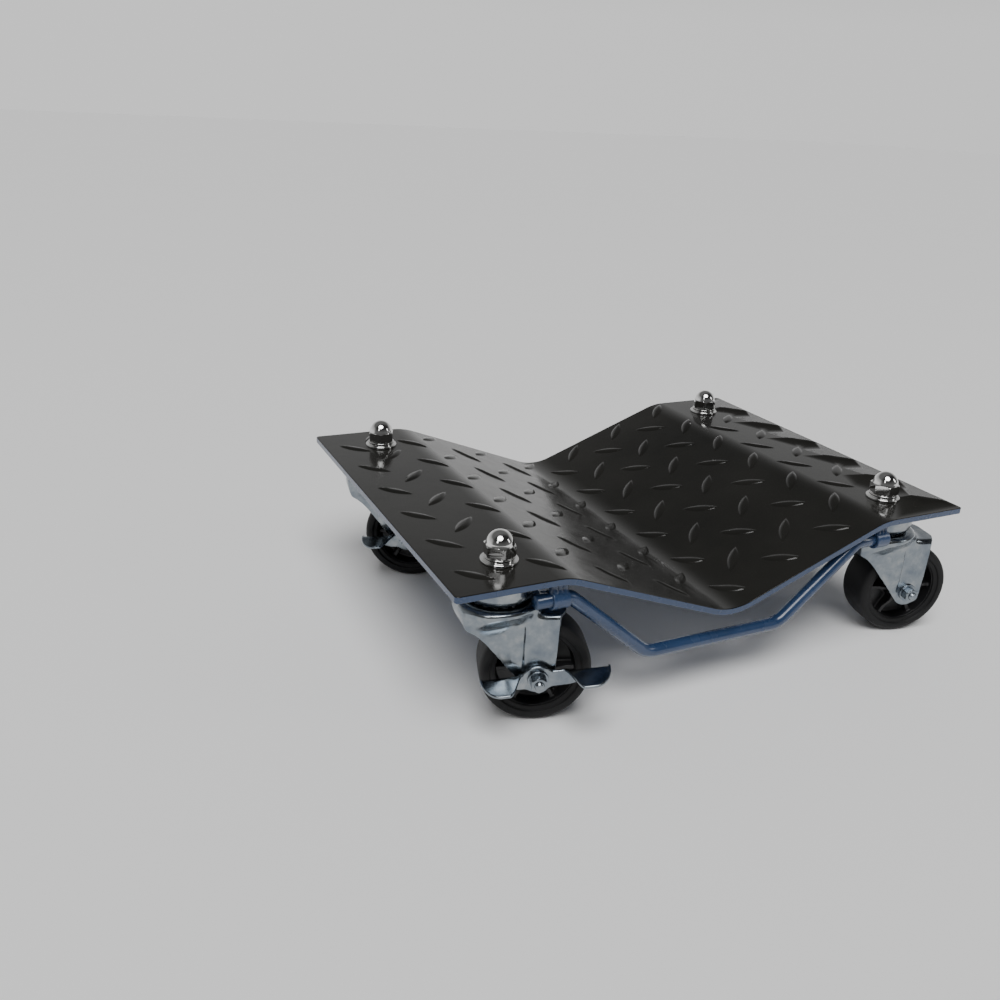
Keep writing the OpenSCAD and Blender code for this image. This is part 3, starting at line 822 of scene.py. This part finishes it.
def fork_distance(x, y, z):
    """Distance to the fork's metal, in mm, with the kingpin along Z and the wheel towards +X."""
    top = fork_top_z / MM
    trail, axle = TRAIL / MM, WHEEL_R / MM
    radius = np.hypot(x, y)
    rib = 1.9 * window(x, 5.0, 90, 8) * window(x, -90, 16.6, 1.8) * window(z, 43, 72, 16)
    yoke = round_box(y, z, LEG_HALF, top - 6.7, 4) - rib
    yoke = smooth_max(yoke, REAR_X - 1.5 - x, 2)
    flare = 0.8
    floor = SKIRT - 6 + 6 * window(x, -8, 90, 24) + flare * (radius - LEG_HALF)
    under = (floor - z) / math.hypot(1, flare)
    dome = smooth_max(round_box(radius, z, 29.4, top, 4.4), under, 4)
    solid = smooth_min(yoke, dome, 8)
    shell = np.maximum(solid, -(solid + SHEET / MM))
    leg = smooth_min(fork_outline(x, z, trail, axle), SKIRT - z, 16)
    cut = math.atan2(FORK_FRONT - LEG_FRONT, LEG_HALF / 2)
    corner = (x - LEG_FRONT) * math.cos(cut) + (np.abs(y) - LEG_HALF) * math.sin(cut)
    metal = np.maximum(np.maximum(shell, leg), smooth_max(x - FORK_FRONT, corner, 1.5))
    axle_hole = AXLE_R / MM + 0.2 - np.hypot(x - trail, z - axle)
    kingpin_hole = STEM_R / MM + 0.4 - radius
    groove = 2.6 - np.hypot(radius - 17, z - (race_low.z / MM - 1.9))
    return np.maximum(np.maximum(metal, groove), np.maximum(axle_hole, kingpin_hole))


def fork_outline(x, z, trail, axle):
    """Side outline of the legs, with a steep rear edge down to the round foot."""
    reach = math.hypot(trail - REAR_X, axle - SKIRT)
    line = math.atan2(axle - SKIRT, trail - REAR_X) - math.asin(FOOT_R / reach)
    rear = (x - REAR_X) * math.sin(line) - (z - SKIRT) * math.cos(line)
    front = (x - LEG_FRONT + 0.8) * 0.998 - (z - axle) * 0.05
    foot = np.hypot(x - trail, z - axle) - FOOT_R
    past_foot = (x - trail) * math.cos(line) + (z - axle) * math.sin(line)
    wedge = np.maximum(np.maximum(rear, front), np.minimum(axle - z, past_foot))
    return np.minimum(wedge, foot)


# --- wheel
HUB_R, HUB_HALF = 10, 15.4                # sizes of the core, in mm
RIM_INNER, CORE_R, RIM_HALF = 26.4, 30, 11.5
SPOKES = 6


def core_distance(x, y, z):
    """Distance to the wheel's core in mm, with the axle along Z."""
    radius = np.hypot(x, y)
    turn = np.arctan2(y, x)
    height = np.abs(z)
    hub = np.maximum(radius - HUB_R - 0.048 * (HUB_HALF - height), height - HUB_HALF)
    bore = RIM_INNER - radius - 0.06 * (RIM_HALF - height)
    rim = np.maximum(np.maximum(radius - CORE_R, bore), height - RIM_HALF)
    web = np.maximum(radius - CORE_R, height - 2.5)
    sector = 2 * math.pi / SPOKES
    local = (turn + sector / 2) % sector - sector / 2
    spoke = np.maximum(np.abs(radius * np.sin(local)) - 1.5, height - 8.5 - 2.2 * window(radius, 0, 17, 8))
    spoke = np.maximum(spoke, np.maximum(radius - 28, 7 - radius))
    body = smooth_min(smooth_min(hub, web, 1.8), rim, 1.8)
    body = smooth_min(body, spoke, 1.4)
    return smooth_max(body, 6.1 - radius, 0.6)


def tyre():
    """Solid rubber tread with a soft crown, round shoulders and a step on each side wall."""
    side = [(37.5, 0), (37.5, 4), (37.46, 8), (37.3, 10.2), (36.95, 11.8), (36.4, 12.95), (35.6, 13.8),
            (34.6, 14.3), (33.4, 14.5), (31.4, 14.5), (30.9, 14.35), (30.7, 14.0), (30.6, 13.4),
            (30.35, 13.1), (29.6, 13.0), (28.6, 13.0), (27.7, 12.9), (27.3, 12.6), (27.2, 12.0), (27.2, 11.2)]
    outline = [(r * MM, z * MM) for r, z in side] + [(30 * MM, 11.2 * MM), (30 * MM, -11.2 * MM)]
    outline += [(r * MM, -z * MM) for r, z in side[:0:-1]]
    return lathe(outline, 128)


# --- axle and brake
def axle_sleeve():
    return lathe(ring_outline(AXLE_R + 0.02 * MM, 6 * MM, -16 * MM, 16 * MM, 0.4 * MM), 64)


def axle_bolt(seat):
    foot, flat, head, round_off = -LEG_OUT - WASHER, 5 * MM, 4 * MM, 0.1 * MM
    corner = flat / math.cos(math.pi / 6)
    dish = 0.25 * MM - head
    outline = [(0.02 * MM, dish), (2.6 * MM, dish), (3 * MM, -head), (flat - 0.4 * MM, -head)]
    outline += between((flat - round_off, 0.15 * MM - head), (corner - round_off, 0.75 * MM - head), 4)
    outline += [(corner, -0.3 * MM), (corner - 0.2 * MM, -0.02 * MM), (AXLE_R, 0), (0.02 * MM, 0)]
    head_part = lathe(outline, 72, hex_radius(2 * flat, 0.05 * MM))
    build = Build().add(*head_part, Matrix.Translation((0, 0, foot)))
    start, shank = foot - 0.5 * MM, seat - 6 * MM
    build.add(*lathe([(0.02 * MM, start), (AXLE_R, start), (AXLE_R, shank), (0.02 * MM, shank)]))
    return build.add(*threaded(AXLE_R, 1 * MM, shank - 0.5 * MM, seat + WASHER + NUT + 2 * MM))


def axle_washers(seat):
    build = Build()
    for low in (-LEG_OUT - WASHER, seat):
        build.add(*lathe(ring_outline(AXLE_R + 0.1 * MM, 7 * MM, low, low + WASHER, 0.35 * MM)))
    return build


def axle_nut(seat):
    return Build().add(*hex_nut(10 * MM, NUT, AXLE_R - 0.1 * MM), Matrix.Translation((0, 0, seat + WASHER)))


def brake_cam():
    """Round plate whose face rises in two ramps under the lever."""
    rise = 0.35 * MM
    vertices, faces = lathe(ring_outline(AXLE_R + 0.05 * MM, 9 * MM, 0, CAM - rise, 0.4 * MM))
    lifted = []
    for x, y, z in vertices:
        ramp = rise * (1 - math.cos(2 * math.atan2(y, x))) / 2 if z > CAM / 2 else 0
        lifted.append((x, y, z + ramp + LEG_OUT))
    return lifted, faces


PEDAL_TIPS = (37.0, 47.0)                 # reach of the left and the right pedal, in mm


def lever_section(x):
    """Bottom edge, fold line and shelf reach of the brake lever, in mm, at a place along it."""
    reach = abs(x)
    tip, root = (PEDAL_TIPS[1], 19) if x > 0 else (PEDAL_TIPS[0], 11)
    hump = math.sqrt(max(9.6 ** 2 - reach ** 2, 0))
    fold = smooth_pair(hump, 5.0, 2.5)
    boss = math.sqrt(max(9.2 ** 2 - reach ** 2, 0))
    arm = 6.0 - 7.0 * ease((reach - root) / (tip - root - 2))
    bottom = -smooth_pair(boss, arm, 2.0)
    shelf = 18.5 * ease((reach - root + 2) / 11.0)
    end = max(reach - tip + 13, 0) / 13
    shelf *= math.sqrt(max(1 - end ** 2.2, 0.015))
    return bottom, fold, shelf


def smooth_pair(a, b, blend):
    return 0.5 * (a + b + math.sqrt((a - b) ** 2 + blend ** 2)) - 0.25 * blend


def ease(share):
    share = min(max(share, 0), 1)
    return share * share * (3 - 2 * share)


def brake_lever():
    """Stamped rocker: an upright plate around the axle whose two ends fold out into pedals."""
    fold_r, droop = 4.0, math.radians(10)
    rows, columns = 26, 84
    bend = math.pi / 2 + droop
    grid = []
    for column in range(columns + 1):
        share = 2 * column / columns - 1
        x = PEDAL_TIPS[1 if share > 0 else 0] * math.copysign(1 - (1 - abs(share)) ** 1.25, share)
        bottom, fold, shelf = lever_section(x)
        turn_r = min(fold_r, max(shelf, 0.0) / 2 + 0.02)
        upright = fold - turn_r - bottom
        arc = turn_r * bend
        total = upright + arc + max(shelf - turn_r, 0)
        line = []
        for row in range(rows + 1):
            past = total * row / rows - upright
            a, rest = min(max(past / turn_r, 0), bend), max(past - arc, 0)
            line.append(Vector((x, fold - turn_r + min(past, 0) + turn_r * math.sin(a) + rest * math.cos(a),
                                turn_r * (1 - math.cos(a)) + rest * math.sin(a))))
        grid.append([p * MM for p in line])
    level = LEG_OUT + CAM + 0.1 * MM + LEVER / 2
    return Build().add(*thicken(grid, LEVER, 0.5 * MM), Matrix.Translation((0, 0, level)))


def thicken(grid, thickness, edge):
    """A closed sheet with rounded edges around a grid of points on its middle surface."""
    columns, rows = len(grid), len(grid[0])

    def normal(i, j):
        a = grid[min(i + 1, columns - 1)][j] - grid[max(i - 1, 0)][j]
        b = grid[i][min(j + 1, rows - 1)] - grid[i][max(j - 1, 0)]
        return a.cross(b).normalized()
    normals = [[normal(i, j) for j in range(rows)] for i in range(columns)]
    vertices = []
    for side in (1, -1):
        for i in range(columns):
            for j in range(rows):
                vertices.append(grid[i][j] + normals[i][j] * side * thickness / 2)
    faces = []
    per = columns * rows
    for i in range(columns - 1):
        for j in range(rows - 1):
            a, b, c, d = i * rows + j, (i + 1) * rows + j, (i + 1) * rows + j + 1, i * rows + j + 1
            faces.append([a, b, c, d])
            faces.append([per + d, per + c, per + b, per + a])
    loop = [(i, 0) for i in range(columns - 1)] + [(columns - 1, j) for j in range(rows - 1)]
    loop += [(i, rows - 1) for i in range(columns - 1, 0, -1)] + [(0, j) for j in range(rows - 1, 0, -1)]
    outer = []
    for k, (i, j) in enumerate(loop):
        before, after = loop[k - 1], loop[(k + 1) % len(loop)]
        along = grid[after[0]][after[1]] - grid[before[0]][before[1]]
        outward = along.cross(normals[i][j]).normalized()
        outer.append((grid[i][j], outward, normals[i][j]))
    start = len(vertices)
    steps = (0.75, 0.3, -0.3, -0.75)
    swell = (0.6, 1.0, 1.0, 0.6)
    for step, push in zip(steps, swell):
        vertices += [p + n * step * thickness / 2 + out * edge * push for p, out, n in outer]
    count = len(loop)
    index = [[i * rows + j for i, j in loop]]
    index += [[start + k * count + m for m in range(count)] for k in range(4)]
    index += [[per + i * rows + j for i, j in loop]]
    for k in range(5):
        for m in range(count):
            n = (m + 1) % count
            faces.append([index[k][m], index[k + 1][m], index[k + 1][n], index[k][n]])
    return vertices, faces


# --- carry handle and its sleeves
def bent_path(points, radii, step=math.radians(6)):
    """A line through the points with each inner corner turned to a round bend."""
    path = [Vector(points[0])]
    for before, corner, after, radius in zip(points, points[1:], points[2:], radii):
        corner = Vector(corner)
        to_a, to_b = (Vector(before) - corner).normalized(), (Vector(after) - corner).normalized()
        angle = to_a.angle(to_b)
        reach = radius / math.tan(angle / 2)
        middle = corner + (to_a + to_b).normalized() * radius / math.sin(angle / 2)
        start, end = corner + to_a * reach, corner + to_b * reach
        count = max(int((math.pi - angle) / step), 2)
        for k in range(count + 1):
            spin = (math.pi - angle) * k / count
            u = (start - middle).normalized()
            w = (end - middle) - u * (end - middle).dot(u)
            path.append(middle + radius * (u * math.cos(spin) + w.normalized() * math.sin(spin)))
    return path + [Vector(points[-1])]


def swept(centres, radius, chamfer, steps=36):
    """A round rod along a path in the plane of X and Z, with chamfered ends."""
    side = Vector((0, 1, 0))
    rings = []
    first, last = (centres[1] - centres[0]).normalized(), (centres[-1] - centres[-2]).normalized()
    stations = [(centres[0], radius - chamfer, first), (centres[0] + first * chamfer, radius, first)]
    for before, here, after in zip(centres, centres[1:], centres[2:]):
        stations.append((here, radius, (after - before).normalized()))
    stations += [(centres[-1] - last * chamfer, radius, last), (centres[-1], radius - chamfer, last)]
    for centre, r, ahead in stations:
        up = ahead.cross(side).normalized()
        rings.append([centre + r * (side * x + up * y) for x, y in circle(steps)])
    return tube(rings)


def make_handle(paint):
    radius = 4.75 * MM
    centre = (handle_low.x + handle_high.x) / 2
    drop = PIVOT.z - handle_low.z - radius
    end, top, bar = handle_high.x - centre, 121 * MM, 57 * MM
    points = [(-end, 0, 0), (-top, 0, 0), (-bar, 0, -drop), (bar, 0, -drop), (top, 0, 0), (end, 0, 0)]
    path = bent_path(points, (9 * MM, 20 * MM, 20 * MM, 9 * MM))
    mesh = make_mesh("handle", *swept(path, radius, 0.7 * MM), 50)
    place = Matrix.Translation((centre, PIVOT.y, PIVOT.z))
    new_piece("handle", mesh, paint, "handle", place, ("carry_handle",))


def make_sleeves(paint):
    outer = (sleeve_high.y - sleeve_low.y) / 2
    length = sleeve_high.x - sleeve_low.x
    outline = ring_outline(4.85 * MM, outer, -length / 2, length / 2, 0.5 * MM)
    mesh = make_mesh("sleeve", *lathe(outline), 50)
    beads = weld_beads(outer, length)
    for side, name in ((-1, "left"), (1, "right")):
        node = f"handle_sleeve_{name}"
        low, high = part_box(node)
        place = Matrix.Translation(((low.x + high.x) / 2, PIVOT.y, PIVOT.z))
        turn = Matrix.Rotation(math.pi / 2, 4, "Y")
        new_piece(f"sleeve_{name}", mesh, paint, "deck", place @ turn, (node,))
        nodes = ("sleeve_welds",) if side == -1 else ()
        new_piece(f"weld_{name}", beads, paint, "deck", place, nodes)


def weld_beads(outer, length):
    """Three lumpy tacks that hang a sleeve under the plate."""
    build = Build()
    foot, ceiling = outer * 0.72, UNDERSIDE - PIVOT.z + 0.4 * MM
    for i, (width, depth, shift) in enumerate(((2.7, 3.3, 0.2), (2.4, 2.8, -0.4), (2.8, 3.5, 0.1))):
        x = (i - 1) * (length / 2 - 2.6 * MM)
        rings = []
        for k in range(13):
            share = k / 12
            swell = 1 + 0.30 * (2 * share - 1) ** 2 + 0.06 * math.sin(9 * share + i)
            height = foot + (ceiling - foot) * share
            rings.append([(x + width * MM * swell * c, (shift + depth * swell * s) * MM, height)
                          for c, s in circle(16)])
        build.add(*tube(rings))
    return make_from("weld", build, 60)


# --- assembly
def corner_frame(corner):
    """Kingpin frame of a caster: Z up through the kingpin from the floor, X towards the wheel."""
    kingpin = KINGPINS[corner]
    wheel = Vector(joints[f"wheel_{corner}_spin"]["pos_m"][:2])
    turn = math.atan2(*(wheel - kingpin).yx)
    return Matrix.Translation((*kingpin, 0)) @ Matrix.Rotation(turn, 4, "Z")


def axle_frame(corner):
    """Axle frame of a caster: Z along the axle towards its nut, Y up."""
    tip_over = Matrix.Rotation(math.pi / 2, 4, "X")
    return corner_frame(corner) @ Matrix.Translation((TRAIL, 0, WHEEL_R)) @ tip_over


CASTER_SLOTS = {"swivel_balls": "spring_steel", "tyre": "tyre", "wheel_core": "core_plastic"}
LEVER_TILT = math.radians(7)


def caster_meshes():
    """The meshes that the four casters share, by node; the axle's come plain and braked."""
    meshes = {
        "stem": make_from("stem", stem()),
        "upper_race": make_mesh("upper_race", *upper_race(), 40),
        "swivel_balls": make_from("balls", balls(), 60),
        "lower_race": make_mesh("lower_race", *lower_race(), 40),
        "fork": sdf_mesh("fork", fork_distance, (-30.5, -30.5, 25), (46, 30.5, 90), 0.8),
        "tyre": make_mesh("tyre", *tyre(), 50),
        "wheel_core": sdf_mesh("wheel_core", core_distance, (-30.2, -30.2, -15.6), (30.2, 30.2, 15.6), 0.85),
        "axle_sleeve": make_mesh("axle_sleeve", *axle_sleeve()),
        "brake_cam": make_mesh("brake_cam", *brake_cam(), 40),
        "brake_lever": make_from("brake_lever", brake_lever(), 50),
    }
    for seat, kind in ((LEG_OUT, "plain"), (LEG_OUT + CAM + LEVER + 0.2 * MM, "braked")):
        for maker in (axle_bolt, axle_washers, axle_nut):
            name = f"{maker.__name__}_{kind}"
            meshes[name] = make_from(name, maker(seat))
    return meshes


def make_casters(looks):
    meshes = caster_meshes()
    for corner in CORNERS:
        kind = "braked" if corner in BRAKED else "plain"
        upright, axle, swivel = corner_frame(corner), axle_frame(corner), f"swivel_{corner}"
        groups = [(upright, "deck", ("stem", "upper_race", "swivel_balls", "lower_race")),
                  (upright, swivel, ("fork",)),
                  (axle, f"wheel_{corner}", ("tyre", "wheel_core")),
                  (axle, swivel, ("axle_sleeve", "axle_bolt", "axle_washers", "axle_nut"))]
        if corner in BRAKED:
            tilted = axle @ Matrix.Rotation(LEVER_TILT, 4, "Z")
            groups += [(axle, swivel, ("brake_cam",)), (tilted, f"brake_{corner}", ("brake_lever",))]
        for place, body, nodes in groups:
            for node in nodes:
                mesh = meshes.get(node) or meshes[f"{node}_{kind}"]
                slot = CASTER_SLOTS.get(node, "zinc")
                name = f"{node}_{corner}"
                new_piece(name + ".look", mesh, looks[slot], body, place, (name,))


def make_deck_hardware(looks):
    washer = lathe(ring_outline(STEM_R + 0.1 * MM, 12.5 * MM, 0, 2 * MM, 0.5 * MM), 96)
    washer_mesh = make_mesh("flat_washer", *washer, 50)
    gap = 0.09
    outline = ring_outline(STEM_R + 0.1 * MM, 10.5 * MM, 0, 2.2 * MM, 0.3 * MM)
    split = Build().add(*lathe(outline, 90, turn=2 * math.pi - gap), Matrix.Rotation(gap / 2, 4, "Z"))
    split_mesh = make_from("lock_washer", split, 50)
    nut_mesh = make_mesh("dome_nut", *dome_nut(), 24)
    for corner in CORNERS:
        x, y = KINGPINS[corner]
        turn = {"fl": 0.87, "fr": 0.62, "bl": 0.7, "br": 0.5}[corner]
        rows = [("flat_washer", washer_mesh, DECK_TOP, "chrome", "flat_washers", 0),
                ("lock_washer", split_mesh, DECK_TOP + 2 * MM, "chrome", "lock_washers", turn),
                ("dome_nut", nut_mesh, nuts_low.z, "chrome", "dome_nuts", turn)]
        for name, mesh, height, slot, node, spin in rows:
            place = Matrix.Translation((x, y, height)) @ Matrix.Rotation(spin, 4, "Z")
            nodes = (node,) if corner == "fl" else ()
            new_piece(f"{name}_{corner}", mesh, looks[slot], "deck", place, nodes)


looks = make_looks()
add_camera()
add_studio()
make_deck(looks["deck_paint"], looks["handle_paint"])
make_deck_hardware(looks)
make_sleeves(looks["handle_paint"])
make_handle(looks["handle_paint"])
make_casters(looks)

bpy.context.view_layer.update()
